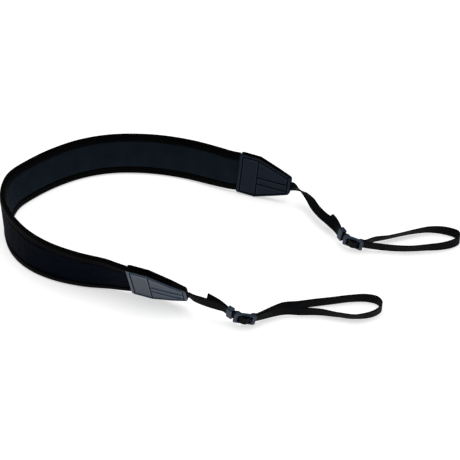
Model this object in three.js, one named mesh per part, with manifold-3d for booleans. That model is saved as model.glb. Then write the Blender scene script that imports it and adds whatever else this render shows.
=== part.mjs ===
// Camera neck strap: a padded band with moulded end caps, and a narrow webbing loop at each end.
// Millimetres, +Z up. The strap lies on a table as it is laid down by hand: the band stands on
// its long edge in a U, its two arms run along +X, and the webbing loops lie past the open end.
// The left side is the wearer's left, at +Y.
import * as THREE from 'three';
import { mergeVertices } from 'three/addons/utils/BufferGeometryUtils.js';
import Module from 'manifold-3d';

const wasm = await Module();
wasm.setup();

// Driving sizes
const gap = 0.3;
const middle = { x: -1.89, y: -34.03 };
const band = { halfWidth: 21.5, step: 9, dip: 4.3, dipReach: 25 };
const pad = {
  halfWidth: 20.4, edge: 1.3, seam: 1.9, face: 2.9, crown: 3.1, seamInset: 5.9, faceInset: 7.3,
};
const padEnd = { edge: 1.3, seam: 1.8, face: 1.9, crown: 1.9, fade: 3, reach: 41.6 };
const tape = { cover: 6.8, lip: 3, edge: 2.5, edgeInset: 0.9, roll: 1.7, thickness: 0.8 };
const cap = { length: 57, shoulder: 20.8, bend: 42, base: 1, relief: 0.5, rim: 1.5, sewn: 43 };
const label = { start: 4.4, end: 20.4, relief: 0.35 };
const groove = { half: 0.6, upper: 1, lower: -6.2 };
const webbing = { width: 10, thickness: 1.2, pitch: 4, turnPerStep: 14 };
const slide = { length: 20.4, width: 14.4, depth: 2.4, endBar: 3.3, rail: 1.75, corner: 2 };
const centreBar = { width: 2.8, depth: 1.6 };
const keeper = { length: 5.6, width: 13.2, depth: 5.4, wall: 1, corner: 1.3 };

// The band's middle line, from the mouth of the left cap round the bend to the right one. lift is
// the height of its lower edge, and lean is how far it leans outwards, in degrees.
const bandRows = rows(['x', 'y', 'lift', 'lean'], [
  [-18, 69.2, 2.6, 5.5],
  [-29, 69.1, 2.2, 8],
  [-46.4, 71.9, 1.3, 12.5],
  [-75.3, 75.1, 0.3, 15.5],
  [-104.4, 73.3, 0, 16],
  [-132.5, 66.1, 0, 14.5],
  [-159, 53.6, 0, 12.5],
  [-181.5, 34.6, 0, 10.5],
  [-198.4, 10.4, 0, 8.5],
  [-210.8, -17.4, 0, 7.5],
  [-217.6, -46.8, 0, 7],
  [-209.6, -77.2, 0, 4],
  [-195.4, -100, 0, -1],
  [-175, -119.2, 0, -4.5],
  [-151, -132.6, 0, -3],
  [-123.3, -139.8, 0, 2.5],
  [-93.5, -141.3, 0.6, 9.5],
  [-66.1, -138.6, 1.7, 17],
  [-54.9, -138.8, 2.4, 21],
  [-44, -138.6, 3, 25],
]);

// A cap from its mouth to its tip, and how far each of its two plates stands off the middle.
const capRows = rows(['along', 'halfWidth', 'standOff'], [
  [0, 22.2, 2.35],
  [cap.shoulder, 22.2, 2.3],
  [cap.bend, 14.8, 2],
  [55, 10.2, 1.1],
  [56.2, 9.6, 0.98],
  [cap.length, 8.6, 0.92],
]);

// The webbing of each side. The lead runs from the cap to the keeper, the loop from the slide out
// and back, and the loose end from the keeper to where it is cut. z is the height of the strap's
// middle, and lean turns it about its own line, from standing on edge at 0 to lying flat at 90
// either way. The keeper and the slide dip towards the loop. turn is 1 where the outer face is on
// the left of the way from the cap to the slide, and -1 where it is on the right.
const strapColumns = ['x', 'y', 'z', 'lean'];
const sides = {
  left: {
    turn: 1,
    lead: rows(strapColumns, [
      [46.7, 69.8, 17.7, -38],
      [53.6, 68.2, 16.3, -60],
      [62.4, 61.9, 14.5, -77],
      [71.6, 52, 12.9, -90],
      [82.3, 42.9, 12, -100],
      [94.4, 34.2, 12.2, -117],
      [102.4, 26.8, 13, -146],
    ]),
    keeper: { x: 110.9, y: 17.7, z: 12.8, heading: -38, dip: 12, lean: -176 },
    slide: { x: 124.2, y: 13.3, z: 9.1, heading: 3, dip: 11, lean: -196 },
    loop: rows(strapColumns, [
      [150.7, 20.9, 5.8, -197],
      [164.8, 24.8, 5.4, -200],
      [178.1, 29.8, 5.3, -203],
      [191.5, 36.8, 5.5, -198],
      [205.2, 44.6, 5.7, -188],
      [214.4, 53.4, 5.7, -179],
      [218.2, 62.2, 5.7, -180],
      [214.2, 69.2, 5.7, -185],
      [200.6, 71.4, 5.6, -175],
      [185.8, 67.6, 5.4, -161],
      [173, 58.8, 5.2, -150],
      [161.6, 49, 5, -145],
      [151.1, 39.2, 5.2, -146],
      [140.9, 30.6, 5.9, -154],
    ]),
    looseEnd: rows(strapColumns, [
      [98.4, 34.3, 11.8, -212],
      [89.2, 44.5, 10.5, -242],
    ]),
  },
  right: {
    turn: -1,
    lead: rows(strapColumns, [
      [19.6, -136.8, 18.2, 14],
      [28.5, -137.3, 17.4, 6],
      [37.2, -137.2, 16.5, 5],
      [44.2, -136.7, 15.5, 8],
      [49.4, -136.4, 14.5, 11],
    ]),
    keeper: { x: 56, y: -137.5, z: 12.7, heading: -12, dip: 13, lean: 13 },
    slide: { x: 69.7, y: -136.7, z: 9, heading: 24, dip: 11, lean: 18 },
    loop: rows(strapColumns, [
      [97.6, -110, 6.6, 6],
      [112.3, -103.8, 5.8, 8],
      [128.2, -97.8, 5.4, 16],
      [144.6, -94.9, 5, 28],
      [161, -91.4, 5, 30],
      [175, -81.2, 5.6, 14],
      [178.6, -69.2, 5.7, 2],
      [173, -62.2, 5.7, -2],
      [162, -61.6, 5.4, -6],
      [147.5, -68, 5.2, -12],
      [133.6, -77, 5.2, -11],
      [119.8, -86, 5.3, -8],
      [106.2, -95.8, 5.8, -8],
      [93.6, -104.4, 6.6, -9],
    ]),
    looseEnd: rows(strapColumns, [
      [43.4, -134.7, 17.7, -9],
      [31.6, -133.9, 21, -6],
    ]),
  },
};

const finishes = {
  pad: new THREE.MeshStandardMaterial({ color: '#0d1218', roughness: 0.85, metalness: 0 }),
  tape: new THREE.MeshStandardMaterial({ color: '#050607', roughness: 0.7, metalness: 0 }),
  cap: new THREE.MeshStandardMaterial({ color: '#2b3038', roughness: 0.45, metalness: 0 }),
  webbing: new THREE.MeshStandardMaterial({ color: '#0a0c0d', roughness: 0.8, metalness: 0 }),
  fitting: new THREE.MeshStandardMaterial({ color: '#4a5160', roughness: 0.5, metalness: 0 }),
};

// One object for each row of a table, with its columns by name.
function rows(columns, table) {
  return table.map((row) => Object.fromEntries(columns.map((name, i) => [name, row[i]])));
}

// A column of the cap's table at a distance from the mouth, in a straight line between rows.
function capAt(distance, name) {
  const next = Math.max(1, capRows.findIndex((row) => row.along >= distance));
  const [from, to] = [capRows[next - 1], capRows[next]];
  return THREE.MathUtils.mapLinear(distance, from.along, to.along, from[name], to[name]);
}

// A frame on a strap: ahead along it, across it from its lower edge to its upper one, and out of
// its outer face.
function leaning(point, forward, lean, turn) {
  const angle = THREE.MathUtils.degToRad(lean);
  const ahead = forward.clone().normalize();
  const level = new THREE.Vector3(-ahead.y, ahead.x, 0).normalize().multiplyScalar(turn);
  const upright = level.clone().cross(ahead).multiplyScalar(-turn);
  const across = level.clone().multiplyScalar(Math.sin(angle)).addScaledVector(upright, Math.cos(angle));
  const out = level.multiplyScalar(Math.cos(angle)).addScaledVector(upright, -Math.sin(angle));
  return { point, ahead, across, out };
}

function headed(spot, turn) {
  const heading = THREE.MathUtils.degToRad(spot.heading);
  const dip = THREE.MathUtils.degToRad(spot.dip);
  const forward = new THREE.Vector3(Math.cos(heading), Math.sin(heading), -Math.tan(dip));
  return leaning(new THREE.Vector3(spot.x, spot.y, spot.z), forward, spot.lean, turn);
}

function place(at, forward, across, out) {
  return at.point.clone()
    .addScaledVector(at.ahead, forward)
    .addScaledVector(at.across, across)
    .addScaledVector(at.out, out);
}

function slid(at, forward) {
  return { ...at, point: place(at, forward, 0, 0) };
}

function signedVolume(geometry) {
  const position = geometry.getAttribute('position');
  const corner = [new THREE.Vector3(), new THREE.Vector3(), new THREE.Vector3()];
  let sum = 0;
  for (let i = 0; i < geometry.index.count; i += 3) {
    corner.forEach((v, k) => v.fromBufferAttribute(position, geometry.index.getX(i + k)));
    sum += corner[0].dot(corner[1].clone().cross(corner[2])) / 6;
  }
  return sum;
}

function solidFrom(points, index) {
  const geometry = new THREE.BufferGeometry();
  const numbers = points.flatMap((point) => point.toArray());
  geometry.setAttribute('position', new THREE.Float32BufferAttribute(numbers, 3));
  geometry.setIndex(index);
  if (signedVolume(geometry) < 0) geometry.setIndex(index.toReversed());
  geometry.computeVertexNormals();
  return geometry;
}

// A solid through frames along a piece. outlineAt(i) is its outline at frame i, as [across, out]
// pairs, always as many and in the same order.
function sweep(frames, outlineAt) {
  const outlines = frames.map((_, i) => outlineAt(i).map(([a, b]) => new THREE.Vector2(a, b)));
  const count = outlines[0].length;
  const index = [];
  for (let r = 0; r < (frames.length - 1) * count; r += count) {
    for (let i = 0; i < count; i += 1) {
      const [a, b] = [r + i, r + ((i + 1) % count)];
      index.push(a, b, b + count, a, b + count, a + count);
    }
  }
  const turnsLeft = THREE.ShapeUtils.area(outlines[0]) > 0;
  [0, frames.length - 1].forEach((end) => {
    THREE.ShapeUtils.triangulateShape(outlines[end], []).forEach(([a, b, c]) => {
      const face = turnsLeft === (end === 0) ? [c, b, a] : [a, b, c];
      index.push(...face.map((corner) => corner + end * count));
    });
  });
  const points = frames.flatMap((at, i) => outlines[i].map((corner) => place(at, 0, corner.x, corner.y)));
  return solidFrom(points, index);
}

// An outline that is the same on both faces, from the points of one face.
function bothFaces(face) {
  return [...face, ...face.toReversed().map(([across, out]) => [across, -out])];
}

// The band's frames by the distance from the left cap's mouth, with its lowest point at lift.
const curveOf = (points) => new THREE.CatmullRomCurve3(points, false, 'catmullrom');
const bandLine = curveOf(bandRows.map((row) => new THREE.Vector3(row.x, row.y, 0)));
const bandPosture = curveOf(bandRows.map((row) => new THREE.Vector3(row.lift, row.lean, 0)));
const bandLength = bandLine.getLength();
const tapeEdge = [
  [band.halfWidth, tape.roll],
  [band.halfWidth - tape.edgeInset, tape.edge],
];

function bandFrame(distance) {
  const t = bandLine.getUtoTmapping(distance / bandLength);
  const posture = bandPosture.getPoint(t);
  const at = leaning(bandLine.getPoint(t), bandLine.getTangent(t), posture.y, -1);
  const reaches = tapeEdge.map(([a, b]) => a * Math.abs(at.across.z) + b * Math.abs(at.out.z));
  at.point.z = Math.max(posture.x, 0) + Math.max(...reaches);
  return dipped(at, distance);
}

// Towards both mouths the band's sections tip over, so that the caps dip to their tips.
function dipped(at, distance) {
  const toEnd = Math.min(distance, bandLength - distance);
  const end = distance < bandLength / 2 ? 1 : -1;
  const share = THREE.MathUtils.smoothstep(-toEnd, -band.dipReach, 0);
  const angle = THREE.MathUtils.degToRad(end * band.dip * share);
  const ahead = at.ahead.clone().applyAxisAngle(at.out, angle);
  return { ...at, ahead, across: at.across.clone().applyAxisAngle(at.out, angle) };
}

function bandFrames(from, to) {
  const steps = Math.round((to - from) / band.step);
  return Array.from({ length: steps + 1 }, (_, i) => bandFrame(from + ((to - from) * i) / steps));
}

// A cap's frame: the middle of its mouth, ahead towards its tip.
const capFrames = {
  left: { ...bandFrame(0), ahead: bandFrame(0).ahead.negate() },
  right: bandFrame(bandLength),
};

// The pad is full between the caps, pressed flat between their plates and cut to their taper.
function padOutline(halfWidth, { edge, seam, face, crown }) {
  const seamAt = halfWidth - pad.seamInset;
  const faceAt = halfWidth - pad.faceInset;
  return bothFaces([
    [halfWidth, edge], [seamAt, seam], [faceAt, face], [0, crown],
    [-faceAt, face], [-seamAt, seam], [-halfWidth, edge],
  ]);
}

function neckPad() {
  const inCap = [padEnd.reach, cap.shoulder, 0];
  const full = bandFrames(padEnd.fade, bandLength - padEnd.fade);
  const pressed = inCap.map((distance) => padOutline(capAt(distance, 'halfWidth') - 1, padEnd));
  pressed[inCap.length - 1] = padOutline(pad.halfWidth, padEnd);
  const frames = [
    ...inCap.map((distance) => slid(capFrames.left, distance)),
    ...full,
    ...inCap.toReversed().map((distance) => slid(capFrames.right, distance)),
  ];
  const outlines = [...pressed, ...full.map(() => padOutline(pad.halfWidth, pad)), ...pressed.toReversed()];
  return sweep(frames, (i) => outlines[i]);
}

// An edge tape folded over one edge of the pad: side is 1 at the upper edge, -1 at the lower.
function edgeTape(side) {
  const lipAt = band.halfWidth - tape.cover;
  const inside = band.halfWidth - tape.thickness;
  const face = [
    [lipAt, tape.lip - tape.thickness], [lipAt, tape.lip],
    [band.halfWidth - tape.edgeInset, tape.edge], [band.halfWidth, tape.roll],
  ];
  const fold = [[inside, -(pad.edge + gap)], [inside, pad.edge + gap]];
  const outline = [...face, ...face.toReversed().map(([a, b]) => [a, -b]), ...fold];
  const turned = outline.map(([a, b]) => [side * a, b]);
  return sweep(bandFrames(gap, bandLength - gap), () => turned);
}

// The heights of a cap's relief above its base, by the distance from the mouth: its field, its two
// long grooves, the line inside its rim, and the rim itself.
const capRelief = rows(['along', 'field', 'rib', 'rimLine', 'rim'], [
  [0, 0.2, 0.2, 0.2, 0.2],
  [0.5, cap.relief, cap.relief, cap.relief, cap.relief],
  [3.2, cap.relief, cap.relief, cap.relief, cap.relief],
  [3.8, 0, 0, 0, cap.relief],
  [label.start, label.relief, label.relief, 0, cap.relief],
  [label.end, label.relief, label.relief, 0, cap.relief],
  [21.2, 0, 0, 0, cap.relief],
  [22, cap.relief, 0, 0, cap.relief],
  [cap.bend, cap.relief, 0, 0, cap.relief],
  [cap.sewn, cap.relief, 0, 0, cap.relief],
  [53, cap.relief, 0, 0, cap.relief],
  [53.7, 0, 0, 0, cap.relief],
  [54.4, cap.relief, cap.relief, cap.relief, cap.relief],
  [56.2, cap.relief, cap.relief, cap.relief, cap.relief],
  [cap.length, 0.2, 0.2, 0.2, 0.2],
]);

// One plate of a cap: face is 1 for the outer plate, -1 for the inner one. Past the pad's end its
// sides close on the other plate, beside the webbing that is sewn in.
function capPlate(at, face) {
  const outlineAt = (i) => {
    const row = capRelief[i];
    const half = capAt(row.along, 'halfWidth');
    const inner = capAt(row.along, 'standOff');
    const top = inner + cap.base;
    const channel = webbing.width / 2 + gap;
    const lip = row.along < cap.sewn ? inner : gap / 2;
    const rimInner = half - cap.rim;
    const lower = Math.max(groove.lower, 3 * groove.half - rimInner);
    const edge = (side) => [
      [side * half, top - 0.1],
      [side * (half - 0.4), top + row.rim],
      [side * rimInner, top + row.rim],
      [side * (rimInner - groove.half), top + row.rimLine],
      [side * (rimInner - 2 * groove.half), top + row.field],
    ];
    const rib = (centre) => [
      [centre - groove.half, top + row.field],
      [centre, top + row.rib],
      [centre + groove.half, top + row.field],
    ];
    return [
      ...edge(-1), ...rib(lower), ...rib(groove.upper), ...edge(1).toReversed(),
      [half, lip], [channel + gap, lip], [channel, inner],
      [-channel, inner], [-channel - gap, lip], [-half, lip],
    ].map(([across, out]) => [across, face * out]);
  };
  return sweep(capRelief.map((row) => slid(at, row.along)), outlineAt);
}

// How far the middle of the two strands stands off a slide's own middle: behind its end bars and
// over its centre bar.
const stack = webbing.thickness + gap;
const weave = { flat: 0.9, reach: 7.1, behind: slide.depth / 2 + gap + webbing.thickness + gap / 2 };
weave.over = centreBar.depth - slide.depth / 2 + gap + webbing.thickness + gap / 2;

function weaveAt(distance) {
  const share = THREE.MathUtils.clamp((Math.abs(distance) - weave.flat) / (weave.reach - weave.flat), 0, 1);
  return weave.over - (weave.over + weave.behind) * 0.5 * (1 - Math.cos(Math.PI * share));
}

// A strand's way through the slide; layer is 1 for the lead's strand, on the outer face, and -1
// for the one that comes back.
function throughSlide(at, layer) {
  const step = 1.05;
  const reach = [9.6, 8.3, weave.reach];
  const inside = Array.from({ length: 13 }, (_, i) => (i - 6) * step);
  const spots = [...reach.map((d) => -d), ...inside, ...reach.toReversed()];
  return spots.map((distance) => {
    const slope = (weaveAt(distance + 0.01) - weaveAt(distance - 0.01)) / 0.02;
    const normal = new THREE.Vector2(-slope, 1).setLength((layer * stack) / 2);
    return { point: place(at, distance + normal.x, 0, weaveAt(distance) + normal.y), across: at.across };
  });
}

function throughKeeper(at, layer) {
  return [-1, 0, 1].map((end) => (
    { point: place(at, end * 0.58 * keeper.length, 0, (layer * stack) / 2), across: at.across }));
}

// Frames along a strap through its stations, with more of them where it bends or twists.
function strapFrames(stations, turn) {
  const line = new THREE.CatmullRomCurve3(stations.map((station) => station.point));
  const last = stations.length - 1;
  const across = stations.map((station, i) => {
    if (station.across) return station.across;
    const forward = line.getTangent(i / last);
    return leaning(station.point, forward, station.lean, turn).across;
  });
  const frameAt = (t) => {
    const i = Math.min(Math.floor(t * last + 1e-9), last - 1);
    const ahead = line.getTangent(t);
    const mixed = across[i].clone().lerp(across[i + 1], t * last - i);
    mixed.addScaledVector(ahead, -mixed.dot(ahead)).normalize();
    const out = mixed.clone().cross(ahead).multiplyScalar(turn);
    return { point: line.getPoint(t), ahead, across: mixed, out };
  };
  const frames = [frameAt(0)];
  for (let i = 0; i < last; i += 1) {
    const [from, to] = [frameAt(i / last), frameAt((i + 1) / last)];
    const bend = Math.max(from.ahead.angleTo(to.ahead), from.across.angleTo(to.across));
    const steps = Math.max(1, Math.round(from.point.distanceTo(to.point) / webbing.pitch),
      Math.ceil(THREE.MathUtils.radToDeg(bend) / webbing.turnPerStep));
    for (let k = 1; k <= steps; k += 1) frames.push(frameAt((i + k / steps) / last));
  }
  return frames;
}

function stationsOf(table) {
  return table.map((row) => ({ point: new THREE.Vector3(row.x, row.y, row.z), lean: row.lean }));
}

// The webbing of one side: sewn into the cap, through the keeper and the slide, round the loop,
// back through both, and its loose end lying beside the lead, on the inner face.
function strap(name) {
  const side = sides[name];
  const mouth = capFrames[name];
  const slideAt = headed(side.slide, side.turn);
  const keeperAt = headed(side.keeper, side.turn);
  const sewn = [cap.sewn + 0.6, 50, cap.length, cap.length + 2].map((distance) => (
    { point: place(mouth, distance, 0, 0), across: mouth.across }));
  const fittings = (layer) => [...throughKeeper(keeperAt, layer), ...throughSlide(slideAt, layer)];
  const stations = [
    ...sewn, ...stationsOf(side.lead), ...fittings(1), ...stationsOf(side.loop),
    ...fittings(-1).toReversed(), ...stationsOf(side.looseEnd),
  ];
  const half = { width: webbing.width / 2, thickness: webbing.thickness / 2 };
  const outline = bothFaces([[half.width, half.thickness], [-half.width, half.thickness]]);
  return sweep(strapFrames(stations, side.turn), () => outline);
}

function roundedRectangle(shape, width, height, radius) {
  const [x, y] = [width / 2, height / 2];
  shape.moveTo(radius - x, -y);
  shape.lineTo(x - radius, -y);
  shape.absarc(x - radius, radius - y, radius, -Math.PI / 2, 0);
  shape.lineTo(x, y - radius);
  shape.absarc(x - radius, y - radius, radius, 0, Math.PI / 2);
  shape.lineTo(radius - x, y);
  shape.absarc(radius - x, y - radius, radius, Math.PI / 2, Math.PI);
  shape.lineTo(-x, radius - y);
  shape.absarc(radius - x, radius - y, radius, Math.PI, 1.5 * Math.PI);
  return shape;
}

function manifoldOf(geometry) {
  const bare = geometry.clone();
  bare.deleteAttribute('normal');
  bare.deleteAttribute('uv');
  const merged = mergeVertices(bare, 1e-4);
  return new wasm.Manifold(new wasm.Mesh({
    numProp: 3,
    vertProperties: merged.getAttribute('position').array,
    triVerts: new Uint32Array(merged.index.array),
  }));
}

function geometryOf(manifold) {
  const mesh = manifold.getMesh();
  const geometry = new THREE.BufferGeometry();
  geometry.setAttribute('position', new THREE.BufferAttribute(mesh.vertProperties, 3));
  geometry.setIndex(new THREE.BufferAttribute(mesh.triVerts, 1));
  geometry.computeVertexNormals();
  return geometry;
}

// The slide lies flat here: along X, across Y, its outer face up.
function slideBody() {
  const chamfer = 0.4;
  const shape = roundedRectangle(new THREE.Shape(), slide.length, slide.width, slide.corner);
  const window = [slide.length - 2 * slide.endBar, slide.width - 2 * slide.rail];
  shape.holes.push(roundedRectangle(new THREE.Path(), ...window, 0.6));
  const frame = new THREE.ExtrudeGeometry(shape, {
    depth: slide.depth - 2 * chamfer,
    bevelThickness: chamfer,
    bevelSize: chamfer,
    bevelOffset: -chamfer,
    bevelSegments: 1,
    curveSegments: 3,
  });
  frame.translate(0, 0, chamfer - slide.depth / 2);
  const bar = new THREE.BoxGeometry(centreBar.width, window[1] + slide.rail, centreBar.depth);
  bar.translate(0, 0, (centreBar.depth - slide.depth) / 2 + 0.01);
  return geometryOf(manifoldOf(frame).add(manifoldOf(bar)));
}

// The keeper is a flat ring: across X, its outer face towards +Y, along Z.
function keeperBody() {
  const shape = roundedRectangle(new THREE.Shape(), keeper.width, keeper.depth, keeper.corner);
  const hole = [keeper.width - 2 * keeper.wall, keeper.depth - 2 * keeper.wall];
  shape.holes.push(roundedRectangle(new THREE.Path(), ...hole, 0.5));
  const settings = { depth: keeper.length, bevelEnabled: false, curveSegments: 3 };
  const ring = new THREE.ExtrudeGeometry(shape, settings);
  return ring.translate(0, 0, -keeper.length / 2);
}

const strapModel = new THREE.Group();
strapModel.position.set(-middle.x, -middle.y, 0);

function add(name, geometry, finish) {
  const mesh = new THREE.Mesh(geometry, finishes[finish]);
  mesh.name = name;
  strapModel.add(mesh);
  return mesh;
}

function addTurned(name, geometry, at, axes) {
  const mesh = add(name, geometry, 'fitting');
  mesh.position.copy(at.point);
  mesh.quaternion.setFromRotationMatrix(new THREE.Matrix4().makeBasis(...axes));
}

add('neck_pad', neckPad(), 'pad');
add('upper_binding', edgeTape(1), 'tape');
add('lower_binding', edgeTape(-1), 'tape');
Object.entries(sides).forEach(([name, side]) => {
  add(`${name}_cap_outer`, capPlate(capFrames[name], 1), 'cap');
  add(`${name}_cap_inner`, capPlate(capFrames[name], -1), 'cap');
  add(`${name}_webbing`, strap(name), 'webbing');
  const slideAt = headed(side.slide, side.turn);
  const keeperAt = headed(side.keeper, side.turn);
  const across = (at) => at.across.clone().multiplyScalar(-side.turn);
  addTurned(`${name}_slide`, slideBody(), slideAt, [slideAt.ahead, across(slideAt), slideAt.out]);
  addTurned(`${name}_keeper`, keeperBody(), keeperAt, [across(keeperAt), keeperAt.out, keeperAt.ahead]);
});

export default strapModel;
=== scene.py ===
import bmesh
import bpy
import math
from mathutils import Matrix, Vector


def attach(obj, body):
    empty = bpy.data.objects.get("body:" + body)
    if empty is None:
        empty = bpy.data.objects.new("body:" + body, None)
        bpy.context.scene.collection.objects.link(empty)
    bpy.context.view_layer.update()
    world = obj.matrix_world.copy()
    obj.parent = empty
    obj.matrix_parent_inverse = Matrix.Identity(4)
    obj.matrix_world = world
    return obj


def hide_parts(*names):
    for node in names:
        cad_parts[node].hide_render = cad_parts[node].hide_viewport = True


# Camera neck strap: padded band with moulded caps, a webbing loop at each end.
# Tables are in millimetres on the drawing grid, meshes in metres round the part's middle.
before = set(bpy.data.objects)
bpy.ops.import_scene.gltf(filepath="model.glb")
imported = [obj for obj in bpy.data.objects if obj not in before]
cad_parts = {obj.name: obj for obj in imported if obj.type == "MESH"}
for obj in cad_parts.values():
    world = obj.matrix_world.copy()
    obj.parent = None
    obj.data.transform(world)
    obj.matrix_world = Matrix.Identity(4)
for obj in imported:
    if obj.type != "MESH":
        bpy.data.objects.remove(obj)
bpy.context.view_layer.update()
mm = 0.001
gridMiddle = Vector((-1.89, -34.03, 0))
print("frame loaded:", len(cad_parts), "nodes")

# The band's middle line from the left cap's mouth round to the right one:
# x, y, height of the lower edge, outward lean in degrees.
band = {
    "line": [
        (-18, 69.2, 2.6, 5.5), (-29, 69.1, 2.2, 8), (-46.4, 71.9, 1.3, 12.5),
        (-75.3, 75.1, 0.3, 15.5), (-104.4, 73.3, 0, 16), (-132.5, 66.1, 0, 14.5),
        (-159, 53.6, 0, 12.5), (-181.5, 34.6, 0, 10.5), (-198.4, 10.4, 0, 8.5),
        (-210.8, -17.4, 0, 7.5), (-217.6, -46.8, 0, 7), (-209.6, -77.2, 0, 4),
        (-195.4, -100, 0, -1), (-175, -119.2, 0, -4.5), (-151, -132.6, 0, -3),
        (-123.3, -139.8, 0, 2.5), (-93.5, -141.3, 0.6, 9.5), (-66.1, -138.6, 1.7, 17),
        (-54.9, -138.8, 2.4, 21), (-44, -138.6, 3, 25),
    ],
    "dip": 4.3, "dipReach": 25,  # towards both mouths it tips over, so that the caps point down
    "footEdges": [(21.5, 1.7), (20.6, 2.5)],  # the tape's corners, which may touch the table
}

# Each side's webbing: x, y, height of its middle, lean. turn tells which side is outwards.
straps = {
    "left": {
        "turn": 1,
        "lead": [
            (46.7, 69.8, 17.7, -38), (53.6, 68.2, 16.3, -60), (62.4, 61.9, 14.5, -77),
            (71.6, 52, 12.9, -90), (82.3, 42.9, 12, -100), (94.4, 34.2, 12.2, -117),
            (102.4, 26.8, 13, -146),
        ],
        "keeper": {"spot": (110.9, 17.7, 12.8), "heading": -38, "dip": 12, "lean": -176},
        "slide": {"spot": (124.2, 13.3, 9.1), "heading": 3, "dip": 11, "lean": -196},
        "loop": [
            (150.7, 20.9, 5.8, -197), (164.8, 24.8, 5.4, -200), (178.1, 29.8, 5.3, -203),
            (191.5, 36.8, 5.5, -198), (205.2, 44.6, 5.7, -188), (214.4, 53.4, 5.7, -179),
            (218.2, 62.2, 5.7, -180), (214.2, 69.2, 5.7, -185), (200.6, 71.4, 5.6, -175),
            (185.8, 67.6, 5.4, -161), (173, 58.8, 5.2, -150), (161.6, 49, 5, -145),
            (151.1, 39.2, 5.2, -146), (140.9, 30.6, 5.9, -154),
        ],
        "looseEnd": [(98.4, 34.3, 11.8, -212), (89.2, 44.5, 10.5, -242)],
    },
    "right": {
        "turn": -1,
        "lead": [
            (19.6, -136.8, 18.2, 14), (28.5, -137.3, 17.4, 6), (37.2, -137.2, 16.5, 5),
            (44.2, -136.7, 15.5, 8), (49.4, -136.4, 14.5, 11),
        ],
        "keeper": {"spot": (56, -137.5, 12.7), "heading": -12, "dip": 13, "lean": 13},
        "slide": {"spot": (69.7, -136.7, 9), "heading": 24, "dip": 11, "lean": 18},
        "loop": [
            (97.6, -110, 6.6, 6), (112.3, -103.8, 5.8, 8), (128.2, -97.8, 5.4, 16),
            (144.6, -94.9, 5, 28), (161, -91.4, 5, 30), (175, -81.2, 5.6, 14),
            (178.6, -69.2, 5.7, 2), (173, -62.2, 5.7, -2), (162, -61.6, 5.4, -6),
            (147.5, -68, 5.2, -12), (133.6, -77, 5.2, -11), (119.8, -86, 5.3, -8),
            (106.2, -95.8, 5.8, -8), (93.6, -104.4, 6.6, -9),
        ],
        "looseEnd": [(43.4, -134.7, 17.7, -9), (31.6, -133.9, 21, -6)],
    },
}


# Smooth lines, and the frames that pieces are laid along. A frame's columns are ahead,
# across (towards the upper edge) and out (of the outer face).
def splineAt(points, t, even=False):
    last = len(points) - 1
    i = max(0, min(int(t + 1e-9), last - 1))
    b, c = points[i], points[i + 1]
    a = points[i - 1] if i else 2 * b - c
    d = points[i + 2] if i + 2 <= last else 2 * c - b
    first, mid, third = [1 if even else (q - p).length ** 0.5 for p, q in ((a, b), (b, c), (c, d))]
    leave = ((b - a) / first - (c - a) / (first + mid) + (c - b) / mid) * mid
    reach = ((c - b) / mid - (d - b) / (mid + third) + (d - c) / third) * mid
    square = 3 * (c - b) - 2 * leave - reach
    cube = 2 * (b - c) + leave + reach
    u = t - i
    return b + leave * u + square * u ** 2 + cube * u ** 3, leave + square * 2 * u + cube * 3 * u ** 2


def makeFrame(point, ahead, across, out):
    made = Matrix((ahead, across, out)).transposed().to_4x4()
    made.translation = point
    return made


def axisOf(at, column):
    return at.col[column].to_3d()


def leaningFrame(point, forward, lean, turn):
    angle = math.radians(lean)
    ahead = forward.normalized()
    level = Vector((-ahead.y, ahead.x, 0)).normalized() * turn
    upright = level.cross(ahead) * -turn
    across = level * math.sin(angle) + upright * math.cos(angle)
    out = level * math.cos(angle) - upright * math.sin(angle)
    return makeFrame(point, ahead, across, out)


def slid(at, distance):
    return at @ Matrix.Translation((distance, 0, 0))


bandPoints = [Vector((x, y, 0)) for x, y, lift, lean in band["line"]]
bandPostures = [Vector((lift, lean)) for x, y, lift, lean in band["line"]]
bandSteps = 40  # samples between two points of the line
bandRun = [0.0]
for step in range((len(bandPoints) - 1) * bandSteps):
    ends = [splineAt(bandPoints, (step + more) / bandSteps, True)[0] for more in (0, 1)]
    bandRun.append(bandRun[-1] + (ends[1] - ends[0]).length)
bandLength = bandRun[-1]
knownBandFrames = {}


def bandFrame(distance):
    key = round(distance, 3)
    if key in knownBandFrames:
        return knownBandFrames[key]
    inside = min(max(distance, 0), bandLength)
    low, high = 0, len(bandRun) - 1
    while high - low > 1:
        half = (low + high) // 2
        low, high = (half, high) if bandRun[half] <= inside else (low, half)
    t = (low + (inside - bandRun[low]) / (bandRun[high] - bandRun[low])) / bandSteps
    point, forward = splineAt(bandPoints, t, True)
    lift, lean = splineAt(bandPostures, t, True)[0]
    at = leaningFrame(point, forward, lean, -1)
    reaches = [a * abs(at.col[1].z) + b * abs(at.col[2].z) for a, b in band["footEdges"]]
    at.translation = (point.x, point.y, max(lift, 0) + max(reaches))
    toEnd = min(inside, bandLength - inside)
    dip = math.radians(band["dip"]) * rise(-toEnd, -band["dipReach"], 0)
    at = at @ Matrix.Rotation(dip if inside < bandLength / 2 else -dip, 4, "Z")
    knownBandFrames[key] = slid(at, distance - inside)  # straight on past the mouths of the caps
    return knownBandFrames[key]


def rise(value, start, end):
    share = min(max((value - start) / (end - start), 0), 1)
    return share * share * (3 - 2 * share)


def evenly(start, end, step):
    count = max(1, round((end - start) / step))
    return [start + (end - start) * i / count for i in range(count + 1)]


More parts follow.
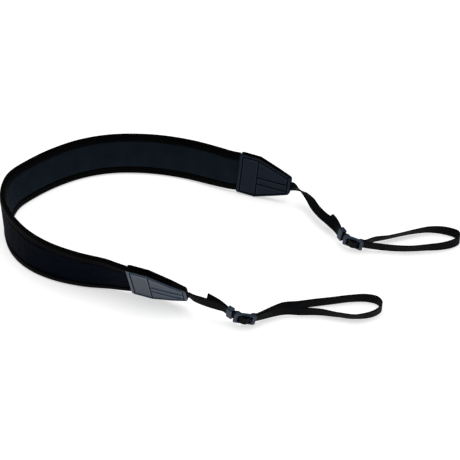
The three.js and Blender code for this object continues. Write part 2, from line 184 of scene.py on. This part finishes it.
# A piece is modelled flat: along X, across Y, its outer face up. Then it is laid in place.
def flatGrid(rows, columnsAt):
    bm = bmesh.new()
    columns = [columnsAt(along) for along in rows]
    width = len(columns[0]) - 1
    bmesh.ops.create_grid(bm, x_segments=len(rows) - 1, y_segments=width, size=0.5)
    for vert in bm.verts:
        row = round((vert.co.x + 0.5) * (len(rows) - 1))
        across, out = columns[row][round((vert.co.y + 0.5) * width)]
        vert.co = (rows[row], across, out)
    return bm


# A grid rolled up along X into a closed strip: its section's first point comes again at the end.
def rolledStrip(rows, sectionAt):
    bm = flatGrid(rows, lambda along: sectionAt(along) + sectionAt(along)[:1])
    bmesh.ops.remove_doubles(bm, verts=bm.verts[:], dist=1e-5)
    bmesh.ops.holes_fill(bm, edges=[e for e in bm.edges if e.is_boundary], sides=0)
    return bm


def bothFaces(face):
    return face + [(a, -b) for a, b in reversed(face)]


def chartFlat(bm):
    chart = bm.loops.layers.uv.new("flat")  # for weaves: millimetres until the piece is laid in place
    for face in bm.faces:
        for loop in face.loops:
            x, y, z = loop.vert.co
            loop[chart].uv = (x, y + z)


def layAlong(bm, frameAt):
    for vert in bm.verts:
        vert.co = (frameAt(vert.co.x) @ Vector((0, vert.co.y, vert.co.z)) - gridMiddle) * mm


def layStraight(bm, at):
    toScene = Matrix.Scale(mm, 4) @ Matrix.Translation(-gridMiddle)
    bmesh.ops.transform(bm, matrix=toScene @ at, verts=bm.verts)


def bevelEdges(bm, edges, offset, segments):
    bmesh.ops.bevel(bm, geom=edges, offset=offset, segments=segments,
                    profile=0.5, affect="EDGES", material=-1)


def finishPiece(name, bm, materials, nodes=(), sharpAngle=40):
    bmesh.ops.recalc_face_normals(bm, faces=bm.faces[:])
    for face in bm.faces:
        face.smooth = True
    for edge in bm.edges:
        edge.smooth = edge.calc_face_angle(0) < math.radians(sharpAngle)
    mesh = bpy.data.meshes.new(name)
    bm.to_mesh(mesh)
    bm.free()
    for material in materials:
        mesh.materials.append(material)
    piece = bpy.data.objects.new(name, mesh)
    bpy.context.scene.collection.objects.link(piece)
    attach(piece, "root")
    if nodes:
        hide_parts(*nodes)
    return piece


def subdivide(piece):
    smooth = piece.modifiers.new("smooth", "SUBSURF")
    smooth.levels = smooth.render_levels = 1


# Materials
class Nodes:
    def __init__(self, name):
        self.material = bpy.data.materials.new(name)
        self.material.use_nodes = True
        self.tree = self.material.node_tree
        self.shader = self.tree.nodes["Principled BSDF"]

    def add(self, kind, **settings):
        node = self.tree.nodes.new("ShaderNode" + kind)
        for key, value in settings.items():
            setattr(node, key, value)
        return node

    def link(self, source, target):
        self.tree.links.new(source, target)

    def math(self, operation, *values):
        node = self.add("Math", operation=operation)
        for socket, value in zip(node.inputs, values):
            if isinstance(value, (int, float)):
                socket.default_value = value
            else:
                self.link(value, socket)
        return node.outputs[0]

    def chart(self):  # u along and v across, in millimetres
        split = self.add("SeparateXYZ")
        self.link(self.add("UVMap", uv_map="flat").outputs[0], split.inputs[0])
        return split.outputs[0], split.outputs[1]

    def speckle(self, scale, detail=4):
        node = self.add("TexNoise")
        node.inputs["Scale"].default_value = scale
        node.inputs["Detail"].default_value = detail
        self.link(self.add("TexCoord").outputs["Object"], node.inputs["Vector"])
        return node.outputs["Fac"]

    def between(self, share, low, high):  # a value from low to high
        node = self.add("MapRange")
        node.inputs["To Min"].default_value = low
        node.inputs["To Max"].default_value = high
        self.link(share, node.inputs["Value"])
        return node.outputs["Result"]

    def colour(self, share, *stops):
        ramp = self.add("ValToRGB")
        while len(ramp.color_ramp.elements) < len(stops):
            ramp.color_ramp.elements.new(0.5)
        for element, (place, shade) in zip(ramp.color_ramp.elements, stops):
            element.position = place
            element.color = (*shade, 1)
        self.link(share, ramp.inputs[0])
        self.link(ramp.outputs[0], self.shader.inputs["Base Color"])

    def bump(self, height, distance):
        node = self.add("Bump")
        node.inputs["Distance"].default_value = distance
        node.inputs["Strength"].default_value = 1
        self.link(height, node.inputs["Height"])
        self.link(node.outputs[0], self.shader.inputs["Normal"])

    def set(self, **values):
        for key, value in values.items():
            self.shader.inputs[key.replace("_", " ")].default_value = value


def tone(red, green, blue):  # a colour as a photo editor shows it
    return tuple((value / 255) ** 2.2 for value in (red, green, blue))


blueSheen = (0.45, 0.74, 1, 1)  # the tint of gloss and sheen


def fabric(name, thread, shadow, light, roughness):  # plain weave, thread in millimetres
    nodes = Nodes(name)
    u, v = nodes.chart()
    ways = [nodes.math("SINE", nodes.math("MULTIPLY", way, 2 * math.pi / thread)) for way in (u, v)]
    height = nodes.math("MULTIPLY_ADD", nodes.math("MULTIPLY", *ways), 0.5, 0.5)
    cloudy = nodes.speckle(60)
    # painted highlight on the weave's crests and painted shade in its hollows, mixed with cloudy tone
    nodes.colour(nodes.math("MULTIPLY_ADD", height, 0.45, nodes.math("MULTIPLY", cloudy, 0.55)),
                 (0.2, shadow), (0.8, light))
    nodes.bump(height, 0.00012)
    nodes.set(Roughness=roughness, Sheen_Weight=0.01, Sheen_Roughness=0.5, Sheen_Tint=blueSheen)
    nodes.set(Specular_IOR_Level=0.03, Specular_Tint=blueSheen)
    return nodes.material


def ribbedTape(name, pitch, shadow, light):  # ribs across, pitch in millimetres
    nodes = Nodes(name)
    u, v = nodes.chart()
    rib = nodes.math("SINE", nodes.math("MULTIPLY", u, 2 * math.pi / pitch))
    thread = nodes.math("SINE", nodes.math("MULTIPLY", v, 2 * math.pi / 0.45))
    height = nodes.math("ADD", nodes.math("MULTIPLY", rib, 0.4), nodes.math("MULTIPLY", thread, 0.15))
    cloudy = nodes.speckle(90)
    # painted highlight on the ribs' crests and painted shade between them, mixed with cloudy tone
    nodes.colour(nodes.math("MULTIPLY_ADD", height, 0.5, cloudy), (0.3, shadow), (0.9, light))
    nodes.bump(height, 0.00012)
    nodes.set(Roughness=0.7, Sheen_Weight=0.005, Sheen_Roughness=0.4, Specular_IOR_Level=0.04)
    return nodes.material


def herringbone(name, shadow, light, selvage):  # slanting ribs that turn round every 2.5 mm, with a painted shade line along the furrow beside each selvage
    nodes = Nodes(name)
    u, v = nodes.chart()
    fold = nodes.math("PINGPONG", nodes.math("ADD", v, 10), 2.5)
    slant = nodes.math("SINE", nodes.math("MULTIPLY", nodes.math("ADD", u, fold), 2 * math.pi / 1.1))
    thread = nodes.math("SINE", nodes.math("MULTIPLY", v, 2 * math.pi / 0.5))
    height = nodes.math("ADD", nodes.math("MULTIPLY", slant, 0.35), nodes.math("MULTIPLY", thread, 0.2))
    cloudy = nodes.speckle(150)
    lit = nodes.math("MULTIPLY_ADD", height, 0.5, cloudy)
    # painted shade: a dark line along the furrow beside each selvage
    toShadedFurrow = nodes.math("ABSOLUTE", nodes.math("SUBTRACT", nodes.math("ABSOLUTE", v), selvage))
    line = nodes.math("SUBTRACT", 1, nodes.math("DIVIDE", toShadedFurrow, 0.35))
    nodes.colour(nodes.math("SUBTRACT", lit, nodes.math("MAXIMUM", line, 0)), (0.25, shadow), (0.95, light))
    nodes.bump(height, 0.00015)
    nodes.set(Roughness=0.65, Sheen_Weight=0.01, Sheen_Roughness=0.4, Specular_IOR_Level=0.06)
    return nodes.material


def mouldedPlastic(name, shadow, light, roughness, grain, relief=None):
    nodes = Nodes(name)
    grainy = nodes.speckle(2600, 2)
    cloudy = nodes.speckle(70)
    fine = nodes.math("MULTIPLY_ADD", grainy, 0.4, nodes.math("MULTIPLY", cloudy, 0.6))
    stops = [(0.3, shadow), (0.7, light)]
    if relief:  # painted shade in the grooves, painted highlight on the lips beside them
        raised = nodes.add("Attribute", attribute_name="relief").outputs["Fac"]
        fine = nodes.math("MULTIPLY_ADD", raised, 0.85, nodes.math("MULTIPLY", fine, 0.15))
        stops = [(0.05, relief["groove"]), (0.5, shadow), (0.62, light), (0.9, relief["lip"])]
    nodes.colour(fine, *stops)
    nodes.link(nodes.between(cloudy, roughness - 0.06, roughness + 0.06), nodes.shader.inputs["Roughness"])
    nodes.bump(grainy, grain)
    nodes.set(IOR=1.5)
    return nodes


innerCloth = fabric("padInnerKnit", 0.9, tone(19, 25, 29), tone(36, 44, 51), 0.85)
outerCloth = fabric("padOuterNylon", 0.6, tone(3, 5, 12), tone(9, 13, 26), 0.8)
bindingCloth = ribbedTape("bindingTape", 0.6, tone(2, 3, 5), tone(9, 10, 13))
webbingCloth = herringbone("webbingWeave", tone(3, 4, 6), tone(14, 18, 23), 3.95)
threadCloth = ribbedTape("blackThread", 0.3, tone(8, 8, 10), tone(22, 22, 26))
# One plastic in two copies: a lit copy for the outer plates, glossier and with paler lips as painted
# highlight, and a shaded copy for the inner plates. In both, the groove colour is painted shade and the lip
# colour painted highlight.
capOuterLitPlastic = mouldedPlastic("capOuterLitPlastic", tone(20, 26, 40), tone(28, 35, 52), 0.32, 0.00003,
                                 {"groove": tone(3, 4, 6), "lip": tone(66, 78, 104)})
capOuterLitPlastic.set(Specular_IOR_Level=0.5, Specular_Tint=blueSheen)
capInnerShadedPlastic = mouldedPlastic("capInnerShadedPlastic", tone(28, 32, 40), tone(37, 43, 53), 0.55, 0.00004,
                                 {"groove": tone(6, 7, 10), "lip": tone(50, 57, 69)})
capInnerShadedPlastic.set(Specular_IOR_Level=0.08, Specular_Tint=blueSheen)
capEdgePlastic = mouldedPlastic("capEdge", tone(3, 3, 4), tone(8, 8, 10), 0.8, 0.00004)
capEdgePlastic.set(Specular_IOR_Level=0.1)
fittingPlastic = mouldedPlastic("fittingPlastic", tone(33, 38, 50), tone(43, 49, 64), 0.4, 0.00003)
fittingPlastic.set(Specular_IOR_Level=0.3, Specular_Tint=blueSheen)
print("materials made")

# Neck pad. Sections give across and out, from the edge inwards.
pad = {
    "hem": [(20.4, 1.3), (20.1, 1.55), (17.5, 1.85), (15, 1.8)],  # what the tapes cover
    "seam": [(14.5, 1.7), (14.1, 1.9), (13.6, 2.55), (13.1, 2.75)],
    "face": (11.8, 9.6, 7, 4.2, 1.4), "faceEdge": 2.85, "crown": 3.1,
    "pressed": 0.61, "pressReach": 5,  # the plates of a cap press it down to this share
    "reach": 41.6, "step": 3,
    "pressure": 4, "frames": 20, "puff": 0.7,  # the swelling of its filling, up to so many millimetres
}

# Caps. Lengths run from the mouth to the tip, standOff is the plates' distance from the middle.
cap = {
    "length": 57, "halfWidth": 22.2, "shoulder": 20.8, "bend": 42, "bendHalf": 14.8,
    "tipHalf": 9.6, "tipRound": 2.4, "mouthHalf": 21.75, "mouthRamp": 2.5, "mouthDrop": 0.4,
    "standOff": [(0, 2.35), (20.8, 2.3), (42, 2), (55, 1.1), (57, 0.92)],
    "base": 1, "relief": 0.5, "rim": 1.5, "edgeRound": 0.6, "edgeSteps": (0, 0.1, 0.3, 0.55),
    "sewn": 43, "strapHalf": 5.6, "closed": 0.15,  # beside the sewn webbing the plates nearly meet
    "panel": (4.4, 20.4), "panelDrop": 0.15,
    "groove": 0.85, "grooveDepth": 0.9, "lipAt": 1.25, "lipWidth": 0.4, "lip": 0.18,
    "grooveSteps": (0.17, 0.5, 0.83, 1.05, 1.25, 1.45, 1.65),
    "crossGrooves": (3.8, 21.2, 53.7), "upperGroove": 1, "lowerGroove": -6.2, "lowerClear": 1.8,
}


def tableAt(table, value):
    for (x0, y0), (x1, y1) in zip(table, table[1:]):
        if value <= x1 or (x1, y1) == table[-1]:
            return y0 + (y1 - y0) * (value - x0) / (x1 - x0)


def capHalfAt(along):
    outline = [(0, cap["mouthHalf"]), (cap["mouthRamp"], cap["halfWidth"]),
               (cap["shoulder"], cap["halfWidth"]), (cap["bend"], cap["bendHalf"]),
               (cap["length"], cap["tipHalf"])]
    corner = cap["tipRound"]
    into = max(0, along - (cap["length"] - corner))
    return tableAt(outline, along) - corner + math.sqrt(max(corner ** 2 - into ** 2, 0))


def pastMouth(along):  # how far inside a cap, below 0 between the caps
    return max(-along, along - bandLength)


def padSection(along):
    depth = pastMouth(along)
    press = 1 - (1 - pad["pressed"]) * rise(depth, -pad["pressReach"], 0)
    spread = (capHalfAt(depth) - 1) / pad["hem"][0][0] if depth > 0 else 1
    faceHalf, fall = pad["seam"][-1][0], pad["crown"] - pad["faceEdge"]
    profile = pad["hem"] + pad["seam"]
    profile = profile + [(a, pad["crown"] - fall * (a / faceHalf) ** 2) for a in pad["face"]]
    outerFace = profile + [(-a, b) for a, b in reversed(profile)]
    return [(a * spread, b * press) for a, b in bothFaces(outerFace)]


def puffUp(piece, sewn, limit):  # the filling swells the faces between what is sewn down
    held = piece.vertex_groups.new(name="sewn")
    held.add(sewn, 1, "REPLACE")
    cloth = piece.modifiers.new("puff", "CLOTH")
    cloth.settings.vertex_group_mass = "sewn"
    cloth.settings.use_pressure = True
    cloth.settings.uniform_pressure_force = pad["pressure"]
    cloth.settings.effector_weights.gravity = 0
    cloth.settings.quality = 5
    for moment in range(1, pad["frames"] + 1):
        bpy.context.scene.frame_set(moment)
    swollen = piece.evaluated_get(bpy.context.evaluated_depsgraph_get()).data
    moves = [after.co - before.co for after, before in zip(swollen.vertices, piece.data.vertices)]
    moved = 0
    for vert, move in zip(piece.data.vertices, moves):
        vert.co += move * min(1, limit / max(move.length, 1e-9))
        moved = max(moved, move.length)
    piece.modifiers.remove(cloth)
    bpy.context.scene.frame_set(1)
    print(f"pad swelled by up to {moved * 1000:.2f} mm, held to {limit * 1000:.2f} mm")


padRows = evenly(-pad["reach"], bandLength + pad["reach"], pad["step"])
bm = rolledStrip(padRows, padSection)
chartFlat(bm)
seamAt = pad["seam"][0][0]
sewnDown = [v.index for v in bm.verts if abs(v.co.y) > seamAt - 0.5 or pastMouth(v.co.x) > -1]
for face in bm.faces:
    middle = face.calc_center_median()
    face.material_index = 0 if middle.z > 0 else 1
    if pastMouth(middle.x) > 0.2 or abs(middle.y) > seamAt:  # under a cap or a tape
        face.material_index = 2
layAlong(bm, bandFrame)
neckPad = finishPiece("neckPad", bm, [outerCloth, innerCloth, bindingCloth], ["neck_pad"], 180)
puffUp(neckPad, sewnDown, pad["puff"] * mm)
subdivide(neckPad)
print("neck pad made")

# Binding tapes, folded over the pad's edges and stitched through
tape = {
    "outer": [(14.7, 2.3), (14.7, 2.75), (14.9, 3), (15.6, 2.98), (16, 2.86), (16.4, 2.96),
              (17.8, 2.95), (19.4, 2.8), (20.4, 2.52), (21.1, 2), (21.45, 1.2), (21.5, 0.4)],
    "lining": [(20.7, 0.5), (20.65, 1.3), (20.4, 1.75), (18, 2.15), (16, 2.15)],
    "ends": (0.15, 0.4, 1.2), "step": 3,
    "stitch": 2.3, "stitchGap": 0.9, "stitchThick": 0.42, "stitchAt": (16, 2.92), "firstStitch": 3,
}


def tapeSection(side):
    lining = tape["lining"]
    section = bothFaces(tape["outer"]) + [(a, -b) for a, b in reversed(lining)] + lining
    return [(side * a, b) for a, b in section]


def addStitch(bm, at, side, face):  # a short bevelled block that lies along the band
    across, out = tape["stitchAt"]
    ahead, up = axisOf(at, 0), axisOf(at, 2) * face
    centre = at @ Vector((0, across * side, out * face))
    thick = tape["stitchThick"]
    shape = makeFrame(centre, ahead, ahead.cross(up), up) @ Matrix.Diagonal((tape["stitch"], thick, thick, 1))
    made = bmesh.ops.create_cube(bm, size=1, matrix=shape)
    bevelEdges(bm, list({edge for vert in made["verts"] for edge in vert.link_edges}), thick * 0.3, 1)


first, second, third = tape["ends"]
tapeRows = [first, second] + evenly(third, bandLength - third, tape["step"])
tapeRows += [bandLength - second, bandLength - first]
pitch = tape["stitch"] + tape["stitchGap"]
for name, side in (("upper", 1), ("lower", -1)):
    section = tapeSection(side)
    bm = rolledStrip(tapeRows, lambda along, section=section: section)
    chartFlat(bm)
    layAlong(bm, bandFrame)
    subdivide(finishPiece(f"{name}Binding", bm, [bindingCloth], [f"{name}_binding"], 70))
    bm = bmesh.new()
    for along in evenly(tape["firstStitch"], bandLength - tape["firstStitch"], pitch):
        for face in (1, -1):
            addStitch(bm, bandFrame(along), side, face)
    layStraight(bm, Matrix())
    chartFlat(bm)
    finishPiece(f"{name}Stitches", bm, [threadCloth])
print("bindings made")


# Each cap is two moulded plates with a rim, a flat panel and two long grooves
def aroundGroove(middle):  # lines over a groove and its two lips
    beside = cap["grooveSteps"]
    return [middle - d for d in reversed(beside)] + [middle] + [middle + d for d in beside]


def capLines(along):  # half the width, then where the rims' grooves and the lower long one run
    half = capHalfAt(along)
    rim = half - cap["rim"] - cap["groove"]
    return half, rim, max(cap["lowerGroove"], cap["lowerClear"] - half + cap["rim"])


def capColumns(along):
    half, rim, lower = capLines(along)
    spots = [d - half for d in cap["edgeSteps"]] + aroundGroove(-rim)
    for groove in (lower, cap["upperGroove"], rim):
        block = aroundGroove(groove)
        spots += [spots[-1] + (block[0] - spots[-1]) * share for share in (0.2, 0.4, 0.6, 0.8)] + block
    spots += [half - d for d in reversed(cap["edgeSteps"])]
    for i in range(1, len(spots)):  # where two grooves come close, none passes the next
        spots[i] = max(spots[i], spots[i - 1] + 0.001)
    return spots


def capRelief(along, across):  # 1 at the bottom of a groove, and 1 on top of a lip
    rim, lower = capLines(along)[1:]
    start, middle, end = cap["crossGrooves"]
    distances = []
    if start < along < end:
        distances.append(abs(across) - rim)
    if middle < along < end:
        distances += [across - cap["upperGroove"], across - lower]
    if abs(across) < rim:
        distances += [along - spot for spot in cap["crossGrooves"]]
    valleys = [1 - rise(abs(d), cap["groove"] * 0.2, cap["groove"]) for d in distances]
    lips = [1 - rise(abs(abs(d) - cap["lipAt"]), 0, cap["lipWidth"]) for d in distances]
    return max(valleys, default=0), max(lips, default=0)


def capHeight(along, across):
    half, rim = capLines(along)[:2]
    valley, lip = capRelief(along, across)
    height = cap["relief"] - cap["grooveDepth"] * valley + cap["lip"] * lip * (1 - valley)
    if cap["panel"][0] < along < cap["panel"][1] and abs(across) < rim - cap["groove"]:
        height -= cap["panelDrop"]
    height -= cap["mouthDrop"] * (1 - rise(along, 0, cap["mouthRamp"]))
    r = cap["edgeRound"]
    for edge in (half - abs(across), along, cap["length"] - along):
        into = max(0, r - edge)
        height -= r - math.sqrt(max(r * r - into * into, 0))
    return height


capRows = [0, 0.1, 0.3, 0.6, 1.3, 2] + evenly(6, 19, 1.6) + evenly(23.5, 51.5, 1.6)
capRows += [55.4, 55.9, 56.4, 56.7, 56.9, 57]  # closer together over the rounded ends
for groove in cap["crossGrooves"]:
    capRows += aroundGroove(groove)
capRows.sort()


def capPlate(face):
    def columnsAt(along):
        top = tableAt(cap["standOff"], along) + cap["base"]
        return [(a, face * (top + capHeight(along, a))) for a in capColumns(along)]
    bm = flatGrid(capRows, columnsAt)
    relief = bm.verts.layers.float.new("relief")  # 0 in a groove, 0.6 on the plate, 1 on a lip: the plastic's painted shade and painted highlight
    for vert in bm.verts:
        valley, lip = capRelief(vert.co.x, vert.co.y)
        vert[relief] = 0.6 * (1 - valley) + 0.4 * lip * (1 - valley)
    made = bmesh.ops.extrude_face_region(bm, geom=bm.faces[:])["geom"]
    for vert in [v for v in made if isinstance(v, bmesh.types.BMVert)]:
        inner = tableAt(cap["standOff"], vert.co.x)
        if vert.co.x > cap["sewn"] and abs(vert.co.y) > cap["strapHalf"]:
            inner = cap["closed"]
        vert.co.z = face * inner
    bm.normal_update()
    for part in bm.faces:  # black inside and on the walls, and black as painted shade in the grooves below the upper rim's
        middle = part.calc_center_median()
        inside = middle.z * face < tableAt(cap["standOff"], middle.x) + 0.6
        shadedGroove = all(vert[relief] < 0.3 for vert in part.verts) and middle.y < capHalfAt(middle.x) - 3
        part.material_index = 1 if inside or shadedGroove or abs(part.normal.z) < 0.5 else 0
    return bm


capEnds = {"left": bandFrame(0) @ Matrix.Diagonal((-1, 1, 1, 1)), "right": bandFrame(bandLength)}
for name, mouth in capEnds.items():
    for plate, face in (("Outer", 1), ("Inner", -1)):
        bm = capPlate(face)
        chartFlat(bm)
        layAlong(bm, lambda along, mouth=mouth: slid(mouth, along))
        node = f"{name}_cap_{plate.lower()}"
        plastic = capOuterLitPlastic if face > 0 else capInnerShadedPlastic
        finishPiece(f"{name}Cap{plate}", bm, [plastic.material, capEdgePlastic.material], [node], 60)
print("caps made")

# Webbing, with how it is woven through the keeper and the slide
webbing = {
    "width": 10, "thickness": 1.2, "step": 1.2, "gap": 0.3,
    "sewnAt": (43.6, 50, 57, 59),  # along the cap: sewn in, and just past the tip
}
slide = {
    "length": 20.4, "width": 14.4, "depth": 2.4, "endBar": 3.3, "rail": 2.1, "corner": 2,
    "windowCorner": 1.7, "rounding": 0.4, "barWidth": 2.8, "barDepth": 1.6, "barRounding": 0.3,
}
keeper = {
    "length": 5.6, "width": 13.2, "depth": 5.4, "wall": 1, "corner": 1.3,
    "windowCorner": 0.5, "rounding": 0.45,
}
stack = webbing["thickness"] + webbing["gap"]  # from one layer of webbing to the next
weave = {
    "flat": 0.9, "reach": 7.1, "beyond": [9.6, 8.3],
    "behind": slide["depth"] / 2 + webbing["gap"] + webbing["thickness"] + webbing["gap"] / 2,
    "over": slide["barDepth"] - slide["depth"] / 2 + webbing["gap"] * 1.5 + webbing["thickness"],
}


def fittingFrame(fitting, turn):
    heading, dip = math.radians(fitting["heading"]), math.radians(fitting["dip"])
    forward = Vector((math.cos(heading), math.sin(heading), -math.tan(dip)))
    return leaningFrame(Vector(fitting["spot"]), forward, fitting["lean"], turn)


def weaveAt(distance):  # how far out the two layers run, over the bar and behind the end bars
    share = min(max((abs(distance) - weave["flat"]) / (weave["reach"] - weave["flat"]), 0), 1)
    return weave["over"] - (weave["over"] + weave["behind"]) * 0.5 * (1 - math.cos(math.pi * share))


def throughSlide(at, layer):
    reach = weave["beyond"] + [weave["reach"]]
    stations = []
    for distance in [-d for d in reach] + [(i - 6) * 1.05 for i in range(13)] + reach[::-1]:
        slope = (weaveAt(distance + 0.01) - weaveAt(distance - 0.01)) / 0.02
        off = Vector((-slope, 1)).normalized() * (layer * stack / 2)
        stations.append((at @ Vector((distance + off.x, 0, weaveAt(distance) + off.y)), axisOf(at, 1)))
    return stations


def throughKeeper(at, layer):
    return [(at @ Vector((end * 0.58 * keeper["length"], 0, layer * stack / 2)), axisOf(at, 1))
            for end in (-1, 0, 1)]


def strapFrames(stations, turn):  # each station: a point, and how it lies as a lean or a direction
    points = [point for point, lie in stations]
    across = []
    for i, (point, lie) in enumerate(stations):
        if not isinstance(lie, Vector):
            lie = axisOf(leaningFrame(point, splineAt(points, i)[1], lie, turn), 1)
        across.append(lie)
    frames = []
    for i in range(len(points) - 1):
        count = max(2, math.ceil((points[i + 1] - points[i]).length / webbing["step"]))
        for k in range(count + (i == len(points) - 2)):
            t = i + k / count
            point, ahead = splineAt(points, t)
            ahead.normalize()
            side = across[i].lerp(across[i + 1], k / count)
            side = (side - ahead * side.dot(ahead)).normalized()
            frames.append(makeFrame(point, ahead, side, side.cross(ahead) * turn))
    return frames


def webbingSection(along):  # a thick selvage, a fine furrow beside it, then the flat
    half, thick = webbing["width"] / 2, webbing["thickness"] / 2
    face = [(half, thick * 0.35), (half - 0.12, thick * 0.8), (half - 0.35, thick),
            (half - 0.8, thick), (half - 1.05, thick * 0.84), (half - 1.3, thick * 0.95),
            (half - 2.6, thick * 0.97), (0.6, thick)]
    return bothFaces(face + [(-a, b) for a, b in reversed(face)])


for name, side in straps.items():
    turn = side["turn"]
    slideAt, keeperAt = [fittingFrame(side[kind], turn) for kind in ("slide", "keeper")]
    mouth = capEnds[name]
    sewn = [(slid(mouth, d).translation, axisOf(mouth, 1)) for d in webbing["sewnAt"]]
    rows = {key: [(Vector(row[:3]), row[3]) for row in side[key]] for key in ("lead", "loop", "looseEnd")}
    stations = sewn + rows["lead"] + throughKeeper(keeperAt, 1) + throughSlide(slideAt, 1) + rows["loop"]
    stations += (throughKeeper(keeperAt, -1) + throughSlide(slideAt, -1))[::-1] + rows["looseEnd"]
    frames = strapFrames(stations, turn)
    bm = rolledStrip(list(range(len(frames))), webbingSection)
    run = [0.0]
    for before, after in zip(frames, frames[1:]):
        run.append(run[-1] + (after.translation - before.translation).length)
    chart = bm.loops.layers.uv.new("flat")
    for face in bm.faces:
        for loop in face.loops:
            x, y, z = loop.vert.co
            loop[chart].uv = (run[round(x)], y + z)
    layAlong(bm, lambda row: frames[round(row)])
    finishPiece(f"{name}Webbing", bm, [webbingCloth], [f"{name}_webbing"], 180)
    print(f"{name} webbing made, {run[-1]:.0f} mm long")


# Slides and keepers
def uprights(bm, length, width):  # the edges that stand at the corners of a rectangle
    def atCorner(vert):
        return abs(abs(vert.co.x) - length / 2) < 1e-6 and abs(abs(vert.co.y) - width / 2) < 1e-6
    return [edge for edge in bm.edges if all(atCorner(vert) for vert in edge.verts)
            and edge.verts[0].co.to_2d() == edge.verts[1].co.to_2d()]


def ringPlate(length, width, depth, window, sizes):  # a plate with a window through it
    bm = bmesh.new()
    xs = [-length / 2, -window[0] / 2, window[0] / 2, length / 2]
    ys = [-width / 2, -window[1] / 2, window[1] / 2, width / 2]
    bmesh.ops.create_grid(bm, x_segments=3, y_segments=3, size=0.5)
    for vert in bm.verts:
        vert.co = (xs[round((vert.co.x + 0.5) * 3)], ys[round((vert.co.y + 0.5) * 3)], -depth / 2)
    hole = min(bm.faces, key=lambda face: face.calc_center_median().to_2d().length)
    bmesh.ops.delete(bm, geom=[hole], context="FACES_ONLY")
    grown = bmesh.ops.extrude_face_region(bm, geom=bm.faces[:])["geom"]
    raised = [v for v in grown if isinstance(v, bmesh.types.BMVert)]
    bmesh.ops.translate(bm, vec=(0, 0, depth), verts=raised)
    outer = uprights(bm, length, width)
    inner = uprights(bm, *window)
    bevelEdges(bm, outer, sizes["corner"], 5)
    bevelEdges(bm, inner, sizes["windowCorner"], 3)
    bmesh.ops.dissolve_limit(bm, angle_limit=0.01, verts=bm.verts[:], edges=bm.edges[:])
    rims = [edge for edge in bm.edges if edge.calc_face_angle(0) > 1]
    bevelEdges(bm, rims, sizes["rounding"], 3)
    return bm


def addMiddleBar(bm, width):  # level with the back of the slide, its long edges rounded
    size = Matrix.Diagonal((slide["barWidth"], width, slide["barDepth"], 1))
    centre = Matrix.Translation((0, 0, (slide["barDepth"] - slide["depth"]) / 2 + 0.01))
    bar = bmesh.ops.create_cube(bm, size=1, matrix=centre @ size)["verts"]
    edges = {edge for vert in bar for edge in vert.link_edges}
    long = [edge for edge in edges if abs((edge.verts[0].co - edge.verts[1].co).y) > 1]
    bevelEdges(bm, long, slide["barRounding"], 2)


keeperTurn = Matrix(((0, 0, 1, 0), (1, 0, 0, 0), (0, 1, 0, 0), (0, 0, 0, 1)))  # its window faces ahead
for name, side in straps.items():
    window = (slide["length"] - 2 * slide["endBar"], slide["width"] - 2 * slide["rail"])
    bm = ringPlate(slide["length"], slide["width"], slide["depth"], window, slide)
    addMiddleBar(bm, window[1] + slide["rail"])
    layStraight(bm, fittingFrame(side["slide"], side["turn"]))
    chartFlat(bm)
    finishPiece(f"{name}Slide", bm, [fittingPlastic.material], [f"{name}_slide"], 30)
    window = (keeper["width"] - 2 * keeper["wall"], keeper["depth"] - 2 * keeper["wall"])
    bm = ringPlate(keeper["width"], keeper["depth"], keeper["length"], window, keeper)
    layStraight(bm, fittingFrame(side["keeper"], side["turn"]) @ keeperTurn)
    chartFlat(bm)
    finishPiece(f"{name}Keeper", bm, [fittingPlastic.material], [f"{name}_keeper"], 30)
print("slides and keepers made")

# Floor, light and camera
studio = {
    "azimuth": 22, "elevation": 35, "distance": 1.4,  # the camera, seen from the grid's origin
    "focalPixels": 1400, "imagePixels": 460, "sensor": 36,
    "floorRadius": 6, "floorDrop": 0.0002,
    "glow": 0.6, "surroundings": 0.15,  # the light of the table itself, and of the room
    "lightAt": Vector((0, 0.3, 3)), "lightSize": 3.2, "lightPower": 60,
}
bm = bmesh.new()
bmesh.ops.create_circle(bm, cap_ends=True, segments=64, radius=studio["floorRadius"])
floorMesh = bpy.data.meshes.new("floor")
bm.to_mesh(floorMesh)
bm.free()
floor = bpy.data.objects.new("floor", floorMesh)
floor.location.z = -studio["floorDrop"]
bpy.context.scene.collection.objects.link(floor)
paper = Nodes("paper")
paper.colour(paper.speckle(3), (0.3, (0.86, 0.86, 0.86)), (0.7, (0.9, 0.9, 0.9)))
paper.set(Roughness=0.8, Specular_IOR_Level=0.1)
paper.set(Emission_Color=(1, 1, 1, 1), Emission_Strength=studio["glow"])
floorMesh.materials.append(paper.material)

world = bpy.data.worlds.new("studio")
bpy.context.scene.world = world
world.use_nodes = True
world.node_tree.nodes["Background"].inputs["Color"].default_value = (1, 1, 1, 1)
world.node_tree.nodes["Background"].inputs["Strength"].default_value = studio["surroundings"]
bpy.context.scene.view_settings.view_transform = "Standard"

topLight = bpy.data.lights.new("topLight", "AREA")
topLight.energy = studio["lightPower"]
topLight.size = studio["lightSize"]
lamp = bpy.data.objects.new("topLight", topLight)
lamp.location = studio["lightAt"]
lamp.rotation_mode = "QUATERNION"
lamp.rotation_quaternion = (-studio["lightAt"]).to_track_quat("-Z", "Y")
bpy.context.scene.collection.objects.link(lamp)

azimuth, elevation = math.radians(studio["azimuth"]), math.radians(studio["elevation"])
level = math.cos(elevation)
back = Vector((math.sin(azimuth) * level, -math.cos(azimuth) * level, math.sin(elevation)))
lens = bpy.data.cameras.new("camera")
lens.sensor_width = studio["sensor"]
lens.lens = studio["sensor"] * studio["focalPixels"] / studio["imagePixels"]
lens.clip_start, lens.clip_end = 0.05, 50
camera = bpy.data.objects.new("camera", lens)
camera.location = -gridMiddle * mm + back * studio["distance"]
camera.rotation_mode = "QUATERNION"
camera.rotation_quaternion = (-back).to_track_quat("-Z", "Y")
bpy.context.scene.collection.objects.link(camera)
bpy.context.scene.camera = camera
print("studio set")

bpy.context.view_layer.update()
